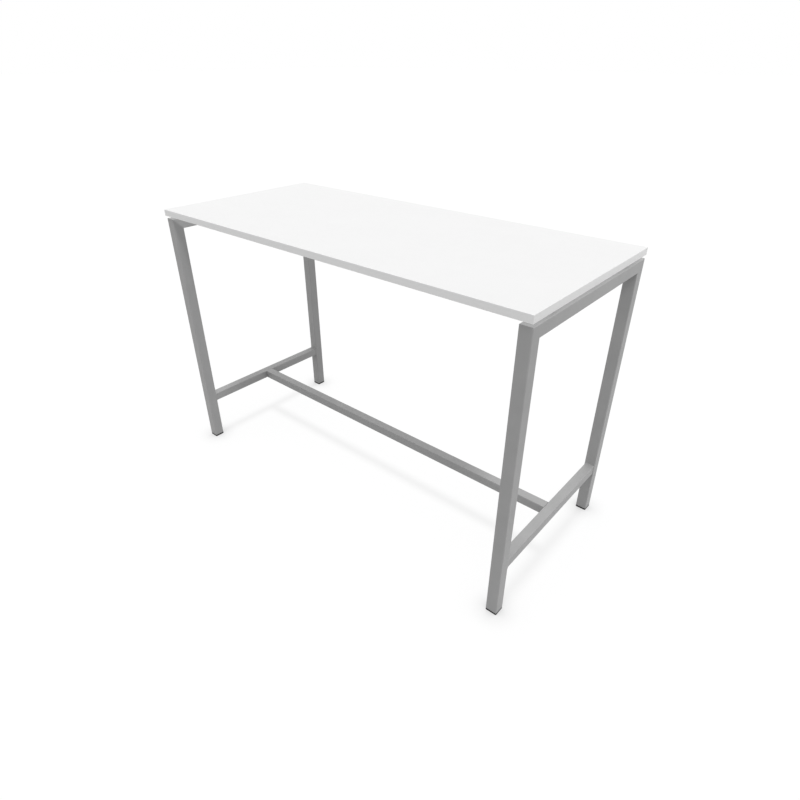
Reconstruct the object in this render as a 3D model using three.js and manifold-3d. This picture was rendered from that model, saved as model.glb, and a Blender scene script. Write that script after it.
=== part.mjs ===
// Standing meeting table: a white laminated top on two end frames of square steel tube, tied together near the
// floor by one stretcher and under the top by two beams. Each leg stands on a levelling glide.
// Millimetres, +Z up, +X along the length to the right, +Y to the back.
// The origin is on the floor, under the centre of the top.

import * as THREE from 'three';
import { mergeVertices } from 'three/addons/utils/BufferGeometryUtils.js';
import Module from 'manifold-3d';

// Overall sizes
const TOP_LENGTH = 1600;
const TOP_DEPTH = 708;
const TABLE_HEIGHT = 1048;

// Tabletop
const CORE_THICKNESS = 22;
const LAMINATE_THICKNESS = 0.7;
const BAND_THICKNESS = 2;
const BAND_EDGE_RADIUS = 1;
const GLUE_LINE = 0.1;

// End frames: the top overhangs the legs at the front and back, and ends flush with them at the two ends
const SIDE_OVERHANG = 5;
const END_OVERHANG = 0;
const SHADOW_GAP = 10;
const LEG_TUBE = 40;
const LEG_WALL = 2;
const LEG_CORNER = 3;

// Foot rails and stretcher
const RAIL_TUBE = 35;
const RAIL_WALL = 2;
const RAIL_CORNER = 2.5;
const RAIL_TOP = 218;
const SPIGOT_LENGTH = 60;
const SPIGOT_WALL = 4;
const SPIGOT_CORNER = 1.5;

// Beams under the top and the folded brackets that carry their ends
const BEAM_SPACING = 360;
const BEAM_HEIGHT = 40;
const BEAM_WIDTH = 25;
const BEAM_WALL = 1.5;
const BEAM_CORNER = 2;
const BRACKET_THICKNESS = 3;
const BRACKET_LEDGE = 45;
const BRACKET_BEND = 2;
const BRACKET_SIDE_MARGIN = 6;
const BRACKET_TOP_MARGIN = 5;

// Screws, spacers and board inserts; a screw head's crown is its flat share of the head's width
const TOP_SCREW_INSET = 80;
const TOP_SCREW_GRIP = 11;
const INSERT_DIAMETER = 11;
const INSERT_LENGTH = 13;
const SPACER_DIAMETER = 18;
const MACHINE_SCREW_DIAMETER = 6;
const MACHINE_HEAD_DIAMETER = 10.5;
const MACHINE_HEAD_HEIGHT = 3.3;
const HEAD_CROWN = 0.6;
const DRIVER_HOLE_DIAMETER = 14;
const STRETCHER_SCREW_LENGTH = 10;
const BEAM_SCREW_DIAMETER = 5;
const BEAM_SCREW_GRIP = 15;
const BEAM_HEAD_DIAMETER = 9.5;
const BEAM_HEAD_HEIGHT = 3;

// Leg plugs and levelling glides; a plug's flange has a roof over the pocket that the pad sits in
const GLIDE_TRAVEL = 10;
const PAD_PROUD = 0.4;
const PAD_THICKNESS = 4;
const PAD_MARGIN = 4;
const PAD_EDGE = 0.8;
const PAD_FLOOR = 1.5;
const HUB_DIAMETER = 18;
const HUB_HEIGHT = 3;
const FLANGE_ROOF = 3.1;
const PLUG_DEPTH = 24;
const FIN_COUNT = 3;
const FIN_THICKNESS = 1.5;
const FIN_DEPTH = 3.5;
const STUD_DIAMETER = 8;
const STUD_FOOT_DIAMETER = 12;
const STUD_FOOT_THICKNESS = 2;
const STUD_SPARE = 2;
const STUD_CHAMFER = 0.8;
const COLLAR_ACROSS_FLATS = 13;
const COLLAR_HEIGHT = 5;
const NUT_DIAMETER = 14;
const NUT_LENGTH = 14;

// Clearances: fits that slide, flat seats and weld roots, and the mitred weld
const FIT_GAP = 0.3;
const SEAT_GAP = 0.1;
const MITRE_GAP = 0.3;

// Fineness of round forms
const CORNER_STEPS = 2;
const ROUND_SIDES = 12;
const HEXAGON_SIDES = 6;
const LEAST_INNER_CORNER = 0.3;
const MERGE_DISTANCE = 1e-4;
const CUT_OVERSHOOT = 1;

// Levels and places worked out from the sizes above
const topThickness = CORE_THICKNESS + 2 * (LAMINATE_THICKNESS + GLUE_LINE);
const underside = TABLE_HEIGHT - topThickness;
const frameTop = underside - SHADOW_GAP;
const frameDepth = TOP_DEPTH - 2 * SIDE_OVERHANG;
const legX = TOP_LENGTH / 2 - END_OVERHANG - LEG_TUBE / 2;
const legY = frameDepth / 2 - LEG_TUBE / 2;
const legInnerX = legX - LEG_TUBE / 2;
const railZ = RAIL_TOP - RAIL_TUBE / 2;
const railInnerX = legX - RAIL_TUBE / 2;
const padPocketTop = PAD_THICKNESS + FIT_GAP;
const flangeTop = padPocketTop + FLANGE_ROOF;
const legBottom = flangeTop + SEAT_GAP;
const mitreDrop = MITRE_GAP / Math.SQRT2;
const boardLength = TOP_LENGTH - 2 * (BAND_THICKNESS + GLUE_LINE);
const boardDepth = TOP_DEPTH - 2 * (BAND_THICKNESS + GLUE_LINE);
const backingThickness = LAMINATE_THICKNESS + GLUE_LINE;
const topScrewY = legY - LEG_TUBE / 2 - TOP_SCREW_INSET;
const beamY = BEAM_SPACING / 2;
const beamZ = underside - SEAT_GAP - BEAM_HEIGHT / 2;
const beamHalfLength = legInnerX - SEAT_GAP - BRACKET_THICKNESS - BRACKET_BEND - FIT_GAP;
const ledgeTop = underside - BEAM_HEIGHT - 2 * SEAT_GAP;
const ledgeBottom = ledgeTop - BRACKET_THICKNESS;
const beamScrewX = legInnerX - SEAT_GAP - BRACKET_THICKNESS - BRACKET_LEDGE / 2;
const beamScrewTip = underside + BEAM_SCREW_GRIP;
const stretcherScrewX = railInnerX - SPIGOT_LENGTH / 2;

// Ends and sides of the table, as names and the signs of their directions
const ENDS = [['left', -1], ['right', 1]];
const SIDES = [['front', -1], ['back', 1]];

// Materials
const laminateWhite = new THREE.MeshStandardMaterial({ color: 0xf4f4f4, roughness: 0.45, metalness: 0 });
const bandWhite = new THREE.MeshStandardMaterial({ color: 0xf0f0f0, roughness: 0.4, metalness: 0 });
const chipboard = new THREE.MeshStandardMaterial({ color: 0xb89a72, roughness: 0.9, metalness: 0 });
const silverCoat = new THREE.MeshStandardMaterial({ color: 0xa4a5a6, roughness: 0.5, metalness: 0.3 });
const zincSteel = new THREE.MeshStandardMaterial({ color: 0xb9bcbe, roughness: 0.35, metalness: 0.9 });
const brassSleeve = new THREE.MeshStandardMaterial({ color: 0xb5924c, roughness: 0.4, metalness: 0.9 });
const blackPlastic = new THREE.MeshStandardMaterial({ color: 0x1d1d1e, roughness: 0.6, metalness: 0 });

const wasm = await Module();
wasm.setup();

// A closed geometry as a solid that can be joined and cut
function solidFrom(geometry) {
  const bare = geometry.index ? geometry.toNonIndexed() : geometry.clone();
  bare.deleteAttribute('normal');
  bare.deleteAttribute('uv');
  const merged = mergeVertices(bare, MERGE_DISTANCE);
  const vertProperties = merged.attributes.position.array;
  const triVerts = new Uint32Array(merged.index.array);
  return new wasm.Manifold(new wasm.Mesh({ numProp: 3, vertProperties, triVerts }));
}

function geometryFrom(solid) {
  const mesh = solid.getMesh();
  const geometry = new THREE.BufferGeometry();
  geometry.setAttribute('position', new THREE.BufferAttribute(mesh.vertProperties, 3));
  geometry.setIndex(new THREE.BufferAttribute(mesh.triVerts, 1));
  geometry.computeVertexNormals();
  return geometry;
}

function cut(geometry, tools) {
  const cutter = tools.map(solidFrom).reduce((all, tool) => all.add(tool));
  return geometryFrom(solidFrom(geometry).subtract(cutter));
}

function join(geometries) {
  return geometryFrom(geometries.map(solidFrom).reduce((all, piece) => all.add(piece)));
}

function place(group, name, geometry, material, x, y, z) {
  const mesh = new THREE.Mesh(geometry, material);
  mesh.name = name;
  mesh.position.set(x, y, z);
  group.add(mesh);
  return mesh;
}

// A rectangle about the origin with round corners
function roundedRectangle(path, width, height, radius) {
  for (let quarter = 0; quarter < 4; quarter += 1) {
    const right = quarter < 2 ? 1 : -1;
    const upper = quarter === 1 || quarter === 2 ? 1 : -1;
    const from = (quarter - 1) * Math.PI / 2;
    const centreX = right * (width / 2 - radius);
    const centreY = upper * (height / 2 - radius);
    path.absarc(centreX, centreY, radius, from, from + Math.PI / 2);
  }
  return path;
}

// A bar of round-cornered section along +Z, standing on the given level
function squareBar(size, corner, bottom, length) {
  const section = roundedRectangle(new THREE.Shape(), size, size, corner);
  const options = { depth: length, curveSegments: CORNER_STEPS, bevelEnabled: false };
  return new THREE.ExtrudeGeometry(section, options).translate(0, 0, bottom);
}

// A tube of round-cornered section along +Z from the origin, open at both ends
function boxTube(width, height, corner, wall, length) {
  const section = roundedRectangle(new THREE.Shape(), width, height, corner);
  const innerCorner = Math.max(corner - wall, LEAST_INNER_CORNER);
  const bore = roundedRectangle(new THREE.Path(), width - 2 * wall, height - 2 * wall, innerCorner);
  section.holes.push(bore);
  const options = { depth: length, curveSegments: CORNER_STEPS, bevelEnabled: false };
  return new THREE.ExtrudeGeometry(section, options);
}

// Turns a tube drawn along +Z so that it is centred on the origin along X or along Y
function layAlongX(geometry, length) {
  return geometry.translate(0, 0, -length / 2).rotateY(Math.PI / 2);
}

function layAlongY(geometry, length) {
  return geometry.translate(0, 0, -length / 2).rotateX(-Math.PI / 2);
}

// Slopes the ends of a tube at 45 degrees, longest on the side where local y is lowest
function mitre(geometry, length, mitreStart) {
  const position = geometry.attributes.position;
  for (let i = 0; i < position.count; i += 1) {
    const setBack = position.getY(i) + LEG_TUBE / 2 + mitreDrop;
    if (position.getZ(i) > length / 2) {
      position.setZ(i, length - setBack);
    } else if (mitreStart) {
      position.setZ(i, setBack);
    }
  }
  return geometry;
}

// A round bar along Z between two levels
function roundBar(diameter, low, high, x = 0, y = 0) {
  const bar = new THREE.CylinderGeometry(diameter / 2, diameter / 2, high - low, ROUND_SIDES);
  return bar.rotateX(Math.PI / 2).translate(x, y, (low + high) / 2);
}

// A form turned about Z from [radius, level] points that go round it anticlockwise
function turned(points) {
  const profile = points.map(([radius, level]) => new THREE.Vector2(radius, level));
  return new THREE.LatheGeometry(profile, ROUND_SIDES).rotateX(Math.PI / 2);
}

function sleeve(outerDiameter, innerDiameter, length) {
  const outer = outerDiameter / 2;
  const inner = innerDiameter / 2;
  return turned([[inner, 0], [outer, 0], [outer, length], [inner, length], [inner, 0]]);
}

// A screw that points up, with the seat of its domed head at level 0
function headedScrew(headDiameter, headHeight, shankDiameter, shankLength) {
  const head = headDiameter / 2;
  const shank = shankDiameter / 2;
  return turned([
    [0, -headHeight],
    [head * HEAD_CROWN, -headHeight],
    [head, -headHeight / 2],
    [head, 0],
    [shank, 0],
    [shank, shankLength - shank],
    [shank / 2, shankLength],
    [0, shankLength],
  ]);
}

// Tabletop: core board, face and backing laminates, and an edge band on each side
function tabletop() {
  const group = new THREE.Group();
  const insertHole = INSERT_DIAMETER + 2 * FIT_GAP;
  const screwHole = BEAM_SCREW_DIAMETER + 2 * FIT_GAP;
  const holes = [];
  for (const [, end] of ENDS) {
    for (const [, side] of SIDES) {
      const insertTop = INSERT_LENGTH + FIT_GAP;
      const pilotTop = BEAM_SCREW_GRIP + FIT_GAP;
      holes.push(roundBar(insertHole, -CUT_OVERSHOOT, insertTop, end * legX, side * topScrewY));
      holes.push(roundBar(screwHole, -CUT_OVERSHOOT, pilotTop, end * beamScrewX, side * beamY));
    }
  }

  const layer = (bottom, thickness) => {
    const board = new THREE.BoxGeometry(boardLength, boardDepth, thickness);
    return board.translate(0, 0, bottom + thickness / 2);
  };
  const core = cut(layer(backingThickness, CORE_THICKNESS), holes);
  const backing = cut(layer(0, LAMINATE_THICKNESS), holes);
  const face = layer(topThickness - LAMINATE_THICKNESS, LAMINATE_THICKNESS);
  place(group, 'core_board', core, chipboard, 0, 0, underside);
  place(group, 'backing_laminate', backing, laminateWhite, 0, 0, underside);
  place(group, 'top_laminate', face, laminateWhite, 0, 0, underside);

  for (const [name, side] of SIDES) {
    const y = side * TOP_DEPTH / 2;
    const band = place(group, `${name}_edge_band`, edgeBand(TOP_LENGTH), bandWhite, 0, y, underside);
    band.rotation.z = side < 0 ? 0 : Math.PI;
  }
  for (const [name, end] of ENDS) {
    const x = end * TOP_LENGTH / 2;
    const band = place(group, `${name}_edge_band`, edgeBand(boardDepth), bandWhite, x, 0, underside);
    band.rotation.z = end * Math.PI / 2;
  }
  return group;
}

// An edge band along X that faces -Y, with its outer face at y = 0 and its two outer edges rounded
function edgeBand(length) {
  const radius = BAND_EDGE_RADIUS;
  const section = new THREE.Shape();
  section.absarc(-radius, radius, radius, 0, -Math.PI / 2, true);
  section.absarc(radius - topThickness, radius, radius, -Math.PI / 2, -Math.PI, true);
  section.lineTo(-topThickness, BAND_THICKNESS);
  section.lineTo(0, BAND_THICKNESS);
  const options = { depth: length, curveSegments: CORNER_STEPS, bevelEnabled: false };
  return layAlongX(new THREE.ExtrudeGeometry(section, options), length);
}

// One end frame: two legs mitred to a top tube, and a foot rail between the legs
function endFrame(endName, end) {
  const group = new THREE.Group();
  const legLength = frameTop - legBottom;
  for (const [sideName, side] of SIDES) {
    const tube = mitre(boxTube(LEG_TUBE, LEG_TUBE, LEG_CORNER, LEG_WALL, legLength), legLength, false);
    const leg = place(group, `${endName}_${sideName}_leg`, tube, silverCoat, 0, side * legY, legBottom);
    leg.rotation.z = side < 0 ? 0 : Math.PI;
  }

  const square = boxTube(LEG_TUBE, LEG_TUBE, LEG_CORNER, LEG_WALL, frameDepth);
  const mitred = layAlongY(mitre(square, frameDepth, true), frameDepth);
  const holes = [];
  for (const [, side] of SIDES) {
    const screwHole = MACHINE_SCREW_DIAMETER + 2 * FIT_GAP;
    holes.push(roundBar(screwHole, 0, LEG_TUBE, 0, side * topScrewY));
    holes.push(roundBar(DRIVER_HOLE_DIAMETER, -LEG_TUBE, 0, 0, side * topScrewY));
  }
  place(group, `${endName}_top_tube`, cut(mitred, holes), silverCoat, 0, 0, frameTop - LEG_TUBE / 2);

  const railLength = 2 * (legY - LEG_TUBE / 2 - SEAT_GAP);
  const rail = layAlongY(boxTube(RAIL_TUBE, RAIL_TUBE, RAIL_CORNER, RAIL_WALL, railLength), railLength);
  place(group, `${endName}_foot_rail`, rail, silverCoat, 0, 0, railZ);
  group.position.x = end * legX;
  return group;
}

// The stretcher, the spigots on the foot rails that it slides over, and a screw up into each spigot
function stretcherAssembly() {
  const group = new THREE.Group();
  const length = 2 * (railInnerX - SEAT_GAP);
  const screwHole = MACHINE_SCREW_DIAMETER + 2 * FIT_GAP;
  const spigotSize = RAIL_TUBE - 2 * RAIL_WALL - 2 * FIT_GAP;
  const tube = layAlongX(boxTube(RAIL_TUBE, RAIL_TUBE, RAIL_CORNER, RAIL_WALL, length), length);
  const stretcherHoles = ENDS.map(([, end]) => roundBar(screwHole, -RAIL_TUBE, 0, end * stretcherScrewX));
  place(group, 'stretcher', cut(tube, stretcherHoles), silverCoat, 0, 0, railZ);
  for (const [name, end] of ENDS) {
    const square = boxTube(spigotSize, spigotSize, SPIGOT_CORNER, SPIGOT_WALL, SPIGOT_LENGTH);
    const spigotX = end * (railInnerX - SEAT_GAP - SPIGOT_LENGTH / 2);
    const spigotHole = roundBar(screwHole, -RAIL_TUBE, 0, end * stretcherScrewX - spigotX);
    const spigot = cut(layAlongX(square, SPIGOT_LENGTH), [spigotHole]);
    place(group, `${name}_stretcher_spigot`, spigot, zincSteel, spigotX, 0, railZ);

    const screw = headedScrew(
      MACHINE_HEAD_DIAMETER, MACHINE_HEAD_HEIGHT, MACHINE_SCREW_DIAMETER, STRETCHER_SCREW_LENGTH);
    const seat = RAIL_TOP - RAIL_TUBE - SEAT_GAP;
    place(group, `${name}_stretcher_screw`, screw, zincSteel, end * stretcherScrewX, 0, seat);
  }
  return group;
}

// A folded bracket for the right-hand end of a beam: an upright on the top tube and a ledge under the beam.
// Its origin is where the upright's back meets the level of the ledge's underside.
function beamBracket() {
  const outerBend = BRACKET_BEND + BRACKET_THICKNESS;
  const width = BEAM_WIDTH + 2 * BRACKET_SIDE_MARGIN;
  const height = frameTop - BRACKET_TOP_MARGIN - ledgeBottom;
  const reach = BRACKET_THICKNESS + BRACKET_LEDGE;
  const profile = new THREE.Shape();
  profile.absarc(-outerBend, outerBend, outerBend, -Math.PI / 2, 0);
  profile.lineTo(0, height);
  profile.lineTo(-BRACKET_THICKNESS, height);
  profile.absarc(-outerBend, outerBend, BRACKET_BEND, 0, -Math.PI / 2, true);
  profile.lineTo(-reach, BRACKET_THICKNESS);
  profile.lineTo(-reach, 0);
  const options = { depth: width, curveSegments: CORNER_STEPS, bevelEnabled: false };
  const folded = new THREE.ExtrudeGeometry(profile, options).translate(0, 0, -width / 2).rotateX(Math.PI / 2);
  const screwHole = BEAM_SCREW_DIAMETER + 2 * FIT_GAP;
  const holeX = beamScrewX - (legInnerX - SEAT_GAP);
  return cut(folded, [roundBar(screwHole, -CUT_OVERSHOOT, outerBend, holeX)]);
}

// One beam under the top with its two brackets and the two screws that hold bracket, beam and board together
function beamAssembly(sideName, side) {
  const group = new THREE.Group();
  const screwHole = BEAM_SCREW_DIAMETER + 2 * FIT_GAP;
  const length = 2 * beamHalfLength;
  const tube = layAlongX(boxTube(BEAM_HEIGHT, BEAM_WIDTH, BEAM_CORNER, BEAM_WALL, length), length);
  const holes = ENDS.map(([, end]) => roundBar(screwHole, -BEAM_HEIGHT, BEAM_HEIGHT, end * beamScrewX));
  place(group, `${sideName}_beam`, cut(tube, holes), silverCoat, 0, 0, beamZ);
  for (const [endName, end] of ENDS) {
    const prefix = `${endName}_${sideName}`;
    const x = end * (legInnerX - SEAT_GAP);
    const bracket = place(group, `${prefix}_beam_bracket`, beamBracket(), silverCoat, x, 0, ledgeBottom);
    bracket.rotation.z = end < 0 ? Math.PI : 0;

    const seat = ledgeBottom - SEAT_GAP;
    const screw = headedScrew(
      BEAM_HEAD_DIAMETER, BEAM_HEAD_HEIGHT, BEAM_SCREW_DIAMETER, beamScrewTip - seat);
    place(group, `${prefix}_beam_screw`, screw, zincSteel, end * beamScrewX, 0, seat);
  }
  group.position.y = side * beamY;
  return group;
}

// One fixing of the top to an end frame: a spacer in the shadow gap, and a screw inside the top tube that
// runs up through the spacer into a threaded sleeve in the board
function topFixing(prefix) {
  const group = new THREE.Group();
  const bore = MACHINE_SCREW_DIAMETER + 2 * FIT_GAP;
  const spacer = sleeve(SPACER_DIAMETER, bore, SHADOW_GAP - 2 * SEAT_GAP);
  place(group, `${prefix}_spacer`, spacer, blackPlastic, 0, 0, frameTop + SEAT_GAP);

  const insert = sleeve(INSERT_DIAMETER, bore, INSERT_LENGTH);
  place(group, `${prefix}_board_insert`, insert, brassSleeve, 0, 0, underside);

  const seat = frameTop - LEG_WALL - SEAT_GAP;
  const shankLength = underside + TOP_SCREW_GRIP - seat;
  const screw = headedScrew(
    MACHINE_HEAD_DIAMETER, MACHINE_HEAD_HEIGHT, MACHINE_SCREW_DIAMETER, shankLength);
  place(group, `${prefix}_top_screw`, screw, zincSteel, 0, 0, seat);
  return group;
}

// One levelling foot: a finned plug in the end of the leg with a threaded nut in it, and a glide whose stud
// turns in the nut while its foot is trapped in the pad
function levellingFoot(prefix) {
  const group = new THREE.Group();
  const studRadius = STUD_DIAMETER / 2;
  const footRadius = STUD_FOOT_DIAMETER / 2;
  const padDiameter = LEG_TUBE - 2 * PAD_MARGIN;
  const padRadius = padDiameter / 2;
  const hubTop = PAD_THICKNESS + HUB_HEIGHT;
  const studFootTop = PAD_FLOOR + FIT_GAP + STUD_FOOT_THICKNESS;
  const collarBottom = hubTop + FIT_GAP;
  const collarTop = collarBottom + COLLAR_HEIGHT;
  const plugTop = flangeTop + PLUG_DEPTH;
  const nutBottom = plugTop - NUT_LENGTH;
  const studTop = plugTop + GLIDE_TRAVEL + STUD_SPARE;

  const pad = turned([
    [0, 0],
    [padRadius - PAD_EDGE, 0],
    [padRadius, PAD_EDGE],
    [padRadius, PAD_THICKNESS],
    [HUB_DIAMETER / 2, PAD_THICKNESS],
    [HUB_DIAMETER / 2, hubTop],
    [studRadius + FIT_GAP, hubTop],
    [studRadius + FIT_GAP, studFootTop + FIT_GAP],
    [footRadius + FIT_GAP, studFootTop + FIT_GAP],
    [footRadius + FIT_GAP, PAD_FLOOR],
    [0, PAD_FLOOR],
  ]);
  place(group, `${prefix}_glide_pad`, pad, blackPlastic, 0, 0, 0);

  const shank = turned([
    [0, PAD_FLOOR + FIT_GAP],
    [footRadius, PAD_FLOOR + FIT_GAP],
    [footRadius, studFootTop],
    [studRadius, studFootTop],
    [studRadius, studTop - STUD_CHAMFER],
    [studRadius - STUD_CHAMFER, studTop],
    [0, studTop],
  ]);
  const collarRadius = COLLAR_ACROSS_FLATS / Math.sqrt(3);
  const hexagon = new THREE.CylinderGeometry(collarRadius, collarRadius, COLLAR_HEIGHT, HEXAGON_SIDES);
  const collar = hexagon.rotateX(Math.PI / 2).translate(0, 0, (collarBottom + collarTop) / 2);
  place(group, `${prefix}_glide_stud`, join([shank, collar]), zincSteel, 0, 0, 0);

  const nut = sleeve(NUT_DIAMETER, STUD_DIAMETER + 2 * FIT_GAP, NUT_LENGTH);
  place(group, `${prefix}_plug_nut`, nut, zincSteel, 0, 0, nutBottom);

  const finSize = LEG_TUBE - 2 * (LEG_WALL + FIT_GAP);
  const finCorner = Math.max(LEG_CORNER - LEG_WALL, LEAST_INNER_CORNER) + FIT_GAP;
  const forms = [
    squareBar(LEG_TUBE, LEG_CORNER, PAD_PROUD, flangeTop - PAD_PROUD),
    squareBar(finSize - 2 * FIN_DEPTH, finCorner, PAD_PROUD, plugTop - PAD_PROUD),
  ];
  for (let fin = 1; fin <= FIN_COUNT; fin += 1) {
    const finBottom = flangeTop + fin * PLUG_DEPTH / (FIN_COUNT + 1);
    forms.push(squareBar(finSize, finCorner, finBottom, FIN_THICKNESS));
  }
  const collarPocket = Math.max(HUB_DIAMETER, 2 * collarRadius) + 2 * FIT_GAP;
  const pockets = [
    roundBar(padDiameter + 2 * FIT_GAP, PAD_PROUD - CUT_OVERSHOOT, padPocketTop),
    roundBar(collarPocket, PAD_PROUD, collarTop + FIT_GAP),
    roundBar(STUD_DIAMETER + 2 * FIT_GAP, PAD_PROUD, plugTop + CUT_OVERSHOOT),
    roundBar(NUT_DIAMETER + 2 * FIT_GAP, nutBottom - FIT_GAP, plugTop + CUT_OVERSHOOT),
  ];
  place(group, `${prefix}_leg_plug`, cut(join(forms), pockets), blackPlastic, 0, 0, 0);
  return group;
}

const table = new THREE.Group();
table.add(tabletop());
table.add(stretcherAssembly());
for (const [endName, end] of ENDS) {
  table.add(endFrame(endName, end));
  for (const [sideName, side] of SIDES) {
    const prefix = `${endName}_${sideName}`;
    const fixing = topFixing(prefix);
    fixing.position.set(end * legX, side * topScrewY, 0);
    table.add(fixing);

    const foot = levellingFoot(prefix);
    foot.position.set(end * legX, side * legY, 0);
    table.add(foot);
  }
}
for (const [sideName, side] of SIDES) {
  table.add(beamAssembly(sideName, side));
}

export default table;
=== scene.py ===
import math

import bmesh
import bpy
from mathutils import Matrix, Vector


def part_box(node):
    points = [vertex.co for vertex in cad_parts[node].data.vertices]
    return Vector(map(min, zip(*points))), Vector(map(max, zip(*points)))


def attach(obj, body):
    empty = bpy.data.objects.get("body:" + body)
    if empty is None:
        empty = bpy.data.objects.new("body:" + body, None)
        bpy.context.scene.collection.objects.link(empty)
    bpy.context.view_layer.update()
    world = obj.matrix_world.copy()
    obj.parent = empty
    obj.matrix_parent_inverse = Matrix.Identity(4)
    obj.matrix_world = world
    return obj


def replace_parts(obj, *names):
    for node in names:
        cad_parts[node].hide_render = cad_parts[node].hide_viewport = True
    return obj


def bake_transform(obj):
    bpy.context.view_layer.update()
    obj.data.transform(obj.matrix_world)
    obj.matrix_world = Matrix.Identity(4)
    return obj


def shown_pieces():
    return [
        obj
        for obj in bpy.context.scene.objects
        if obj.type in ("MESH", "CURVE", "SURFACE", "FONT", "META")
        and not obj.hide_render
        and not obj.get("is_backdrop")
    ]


# Standing meeting table: fine shapes, finishes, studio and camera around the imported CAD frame.
# Lengths are in metres, +Z is up, +X runs to the table's right end and +Y to its back.

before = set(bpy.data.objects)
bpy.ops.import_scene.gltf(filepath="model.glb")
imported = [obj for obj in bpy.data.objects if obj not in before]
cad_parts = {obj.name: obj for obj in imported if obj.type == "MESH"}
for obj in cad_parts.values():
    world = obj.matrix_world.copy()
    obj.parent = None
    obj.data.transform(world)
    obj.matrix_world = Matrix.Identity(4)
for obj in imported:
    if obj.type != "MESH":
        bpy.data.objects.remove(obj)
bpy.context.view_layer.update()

MM = 0.001
TURN = 2 * math.pi
QUARTER = TURN / 4
SIXTH = TURN / 6
X, Y, Z = range(3)

# Which way the ends, sides and feet lie from the table's middle
ENDS = {"left": -1, "right": 1}
SIDES = {"front": -1, "back": 1}
FEET = {f"{end}_{side}": (ENDS[end], SIDES[side]) for end in ENDS for side in SIDES}

# Tubes and sheet
LEG_CORNER = 3 * MM
LEG_WALL = 2 * MM
RAIL_CORNER = 2.5 * MM
RAIL_WALL = 2 * MM
BEAM_CORNER = 2 * MM
BEAM_WALL = 1.5 * MM
LEAST_CORNER = 0.3 * MM
RIM_BREAK = 0.3 * MM
MITRE_HALF_GAP = 0.01 * MM
SHEET_THICKNESS = 3 * MM
SHEET_BEND = 2 * MM
SHEET_CORNER = 5 * MM
SHEET_BREAK = 0.4 * MM

# Tabletop edge
BAND_RADIUS = 1 * MM
BAND_INNER_CORNER = 0.1 * MM

# Screws, inserts and spacers
SCREW_CLEARANCE = 0.3 * MM
MACHINE_SHANK = 3 * MM
MACHINE_HOLE = MACHINE_SHANK + SCREW_CLEARANCE
MACHINE_HEAD = 5.25 * MM
MACHINE_HEAD_HEIGHT = 3.3 * MM
MACHINE_PITCH = 1 * MM
MACHINE_THREAD = 0.55 * MM
MACHINE_KEY = 4 * MM
BEAM_SHANK = 2.5 * MM
BEAM_HOLE = BEAM_SHANK + SCREW_CLEARANCE
BEAM_HEAD = 4.75 * MM
BEAM_HEAD_HEIGHT = 3 * MM
BEAM_PITCH = 2.2 * MM
BEAM_THREAD = 0.8 * MM
BEAM_KEY = 2 * MM
LOBES = 6
LOBE_SHARE = 0.18
RECESS_SHARE = 0.6
CROWN_SHARE = 0.6
DRIVER_HOLE = 7 * MM
INSERT_PITCH = 3 * MM
INSERT_THREAD = 0.9 * MM
SPACER_EDGE = 0.8 * MM

# Levelling feet
PLUG_CORE_INSET = 5.8 * MM
PLUG_FIN_INSET = 2.3 * MM
PLUG_FINS = 3
PLUG_FIN_THICKNESS = 1.5 * MM
PLUG_EDGE = 0.5 * MM
PAD_POCKET = 16.3 * MM
PAD_POCKET_TOP = 4.3 * MM
COLLAR_POCKET = 9.3 * MM
COLLAR_POCKET_TOP = 12.6 * MM
STUD_BORE = 4.3 * MM
NUT_POCKET = 7.3 * MM
SEAT_GAP = 0.1 * MM
FIT_GAP = 0.3 * MM
NUT_KNURLS = 24
NUT_KNURL_DEPTH = 0.35 * MM
NUT_EDGE = 0.6 * MM
PAD_THICKNESS = 4 * MM
PAD_EDGE = 0.8 * MM
PAD_GROOVES = (5 * MM, 8 * MM, 11 * MM)
PAD_GROOVE_WIDTH = 1.2 * MM
PAD_GROOVE_SIDE = 0.3 * MM
PAD_GROOVE_DEPTH = 0.5 * MM
HUB_RADIUS = 9 * MM
HUB_EDGE = 0.5 * MM
PAD_CAVITY = 6.3 * MM
PAD_CAVITY_FLOOR = 1.5 * MM
PAD_CAVITY_TOP = 4.1 * MM
STUD_RADIUS = 4 * MM
STUD_PITCH = 1.25 * MM
STUD_THREAD = 0.6 * MM
STUD_CHAMFER = 0.8 * MM
STUD_NECK = 3.7 * MM
STUD_FOOT = 6 * MM
STUD_FOOT_THICKNESS = 2 * MM
STUD_FOOT_EDGE = 0.3 * MM
COLLAR_FLATS = 13 * MM
COLLAR_BOTTOM = 7.3 * MM
COLLAR_TOP = 12.3 * MM
COLLAR_CHAMFER = 0.55 * MM

# Weld beads
WELD_SIZE = 2.2 * MM
WELD_RIPPLE = 0.12
WELD_STEP = 2.4 * MM
WELD_SPACING = 0.8 * MM
WELD_ROOT = 0.3 * MM
WELD_SINK = 1.5 * MM
WELD_SIDES = 5

# How finely round things are drawn
CORNER_STEPS = 6
PLUG_STEPS = 11
BREAK_STEPS = 2
CHAMFER_STEPS = 2
BEND_STEPS = 8
END_STEPS = 6
ROUND_SIDES = 48
DOME_STEPS = 6
THREAD_STEPS = 6
SHARP_ANGLE = math.radians(35)

# Patterns that two parts of a finish share
BAND_LINE_STRETCH = 0.02
CHIP_SIZE = 4 * MM
CHIP_STRETCH = (0.5, 0.8, 2)

# Camera, from the photograph's perspective
CAMERA_PLACE = (1.355872, -1.475876, 1.558135)
CAMERA_YAW = 0.70805
CAMERA_PITCH = -0.54559
FOCAL_PIXELS = 569.454
PICTURE_PIXELS = 800
SENSOR = 36

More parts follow.
